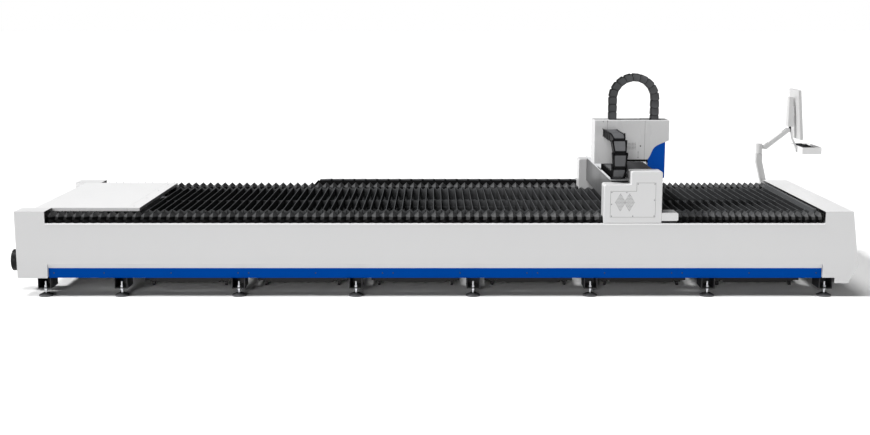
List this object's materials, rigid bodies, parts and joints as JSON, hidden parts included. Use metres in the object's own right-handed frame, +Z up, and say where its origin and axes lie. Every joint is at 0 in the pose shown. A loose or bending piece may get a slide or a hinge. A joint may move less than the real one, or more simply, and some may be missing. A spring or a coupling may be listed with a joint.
{
  "type": "fiber laser cutting machine",
  "caption": "Long flat-bed laser cutter: slat table, travelling gantry with cutting head, bellows and drag chains, slag carts, and a swing-arm console.",
  "frame": {"origin": "middle of the footprint on the floor", "axes": "+X along the bed towards the console end, +Y from the front panel to the back, +Z up"},
  "size_m": [8.994, 2.7068, 2.2255],
  "materials": {
    "white_paint": "powder coat, satin",
    "blue_paint": "powder coat, satin",
    "grey_paint": "powder coat, satin",
    "frame_steel": "primed structural tube",
    "black_paint": "black powder coat",
    "slat_steel": "flame-cut plate, dull",
    "bright_steel": "ground and oiled",
    "bellows_cloth": "coated pleated cloth",
    "chain_plastic": "moulded nylon",
    "aluminium": "satin anodised",
    "spigot_black": "ribbed collar",
    "pad_rubber": "moulded",
    "console_paint": "powder coat, satin",
    "black_plastic": "moulded",
    "screen_glass": "dark pane",
    "brass": "turned"
  },
  "bodies": {
    "bed": {"side_beams": "frame_steel", "cross_members": "frame_steel", "front_panel": "white_paint", "rear_panel": "white_paint", "kick_strips": "blue_paint", "strip_screws": "bright_steel", "left_end_housing": "white_paint", "right_end_housing": "white_paint", "left_cover": "white_paint", "slats": "slat_steel", "slat_holders": "grey_paint", "chutes": "frame_steel", "guide_rails": "bright_steel", "front_left_bellows": "bellows_cloth", "front_right_bellows": "bellows_cloth", "rear_left_bellows": "bellows_cloth", "rear_right_bellows": "bellows_cloth", "foot_brackets": "black_paint", "foot_pads": "pad_rubber", "foot_studs": "bright_steel", "exhaust_spigot": "spigot_black", "chain_trough": "grey_paint", "long_drag_chain": "chain_plastic", "console_post": "white_paint"},
    "gantry": {"gantry_beam": "grey_paint", "beam_rails": "bright_steel", "chain_tray": "grey_paint", "front_end_housing": "white_paint", "service_panel": "white_paint", "motor_box": "white_paint", "rear_end_housing": "white_paint", "carriages": "frame_steel", "drive_motors": "black_paint", "front_beam_bellows": "bellows_cloth", "rear_beam_bellows": "bellows_cloth", "short_drag_chain": "chain_plastic"},
    "front_drive": {"front_pinion": "bright_steel"},
    "rear_drive": {"rear_pinion": "bright_steel"},
    "head": {"head_housing": "white_paint", "head_lower_cover": "blue_paint", "head_carriage": "aluminium", "loop_drag_chain": "chain_plastic"},
    "head_drive": {"head_pinion": "bright_steel"},
    "screw": {"ball_screw": "bright_steel"},
    "cutter": {"vertical_slide": "aluminium", "cutting_head": "aluminium"},
    "arm_base": {"swivel_block": "console_paint"},
    "arm": {"spring_arm": "console_paint"},
    "knuckle": {"arm_knuckle": "console_paint"},
    "column": {"console_column": "console_paint", "keyboard_tray": "console_paint", "keyboard": "black_plastic"},
    "display": {"monitor": "console_paint", "monitor_screen": "screen_glass"},
    "cart_1": {"slag_cart_1": "grey_paint"},
    "cart_2": {"slag_cart_2": "grey_paint"},
    "cart_3": {"slag_cart_3": "grey_paint"},
    "cart_4": {"slag_cart_4": "grey_paint"},
    "cart_5": {"slag_cart_5": "grey_paint"},
    "cart_6": {"slag_cart_6": "grey_paint"}
  },
  "joints": [
    {"name": "gantry_slide", "type": "slide", "parent": "bed", "child": "gantry", "axis": [1, 0, 0], "range_m": [-4.8, 1.2], "deforming": ["front_left_bellows", "rear_left_bellows", "front_right_bellows", "rear_right_bellows", "long_drag_chain"]},
    {"name": "front_pinion_spin", "type": "hinge", "parent": "gantry", "child": "front_drive", "pos_m": [1.76, -1.1865, 0.712], "axis": [0, 0, 1], "range_deg": [-7400, 1900]},
    {"name": "rear_pinion_spin", "type": "hinge", "parent": "gantry", "child": "rear_drive", "pos_m": [1.76, 0.8835, 0.712], "axis": [0, 0, 1], "range_deg": [-1900, 7400]},
    {"name": "head_slide", "type": "slide", "parent": "gantry", "child": "head", "axis": [0, 1, 0], "range_m": [-0.525, 0.975], "deforming": ["front_beam_bellows", "rear_beam_bellows", "short_drag_chain"]},
    {"name": "head_pinion_spin", "type": "hinge", "parent": "head", "child": "head_drive", "pos_m": [1.9765, -0.376, 1.245], "axis": [0, 0, 1], "range_deg": [-1000, 1800]},
    {"name": "height_slide", "type": "slide", "parent": "head", "child": "cutter", "axis": [0, 0, 1], "range_m": [-0.055, 0.065], "deforming": ["loop_drag_chain"]},
    {"name": "screw_spin", "type": "hinge", "parent": "head", "child": "screw", "pos_m": [2.194, -0.376, 1.295], "axis": [0, 0, 1], "range_deg": [-2400, 2050]},
    {"name": "arm_swivel", "type": "hinge", "parent": "bed", "child": "arm_base", "pos_m": [3.816, 1.0935, 1.225], "axis": [0, 0, 1], "range_deg": [-60, 60]},
    {"name": "arm_lift", "type": "hinge", "parent": "arm_base", "child": "arm", "pos_m": [3.888, 1.0935, 1.272], "axis": [0, 1, 0], "range_deg": [-30, 35]},
    {"name": "arm_levelling", "type": "hinge", "parent": "arm", "child": "knuckle", "pos_m": [4.148, 1.0935, 1.478], "axis": [0, 1, 0], "range_deg": [-35, 30]},
    {"name": "console_swivel", "type": "hinge", "parent": "knuckle", "child": "column", "pos_m": [4.176, 1.0935, 1.545], "axis": [0, 0, 1], "range_deg": [-25, 25]},
    {"name": "monitor_tilt", "type": "hinge", "parent": "column", "child": "display", "pos_m": [4.215, 1.0935, 1.67], "axis": [0, 1, 0], "range_deg": [-5, 3]},
    {"name": "cart_1_slide", "type": "slide", "parent": "bed", "child": "cart_1", "axis": [0, -1, 0], "range_m": [0, 1.9]},
    {"name": "cart_2_slide", "type": "slide", "parent": "bed", "child": "cart_2", "axis": [0, -1, 0], "range_m": [0, 1.9]},
    {"name": "cart_3_slide", "type": "slide", "parent": "bed", "child": "cart_3", "axis": [0, -1, 0], "range_m": [0, 1.9]},
    {"name": "cart_4_slide", "type": "slide", "parent": "bed", "child": "cart_4", "axis": [0, -1, 0], "range_m": [0, 1.9]},
    {"name": "cart_5_slide", "type": "slide", "parent": "bed", "child": "cart_5", "axis": [0, -1, 0], "range_m": [0, 1.9]},
    {"name": "cart_6_slide", "type": "slide", "parent": "bed", "child": "cart_6", "axis": [0, -1, 0], "range_m": [0, 1.9]}
  ],
  "couplings": [
    {"joint": "front_pinion_spin", "follows": "gantry_slide", "rad_per_m": 26.667},
    {"joint": "rear_pinion_spin", "follows": "gantry_slide", "rad_per_m": -26.667},
    {"joint": "head_pinion_spin", "follows": "head_slide", "rad_per_m": 31.25},
    {"joint": "screw_spin", "follows": "height_slide", "rad_per_m": -628.32},
    {"joint": "arm_levelling", "follows": "arm_lift", "ratio": -1}
  ]
}
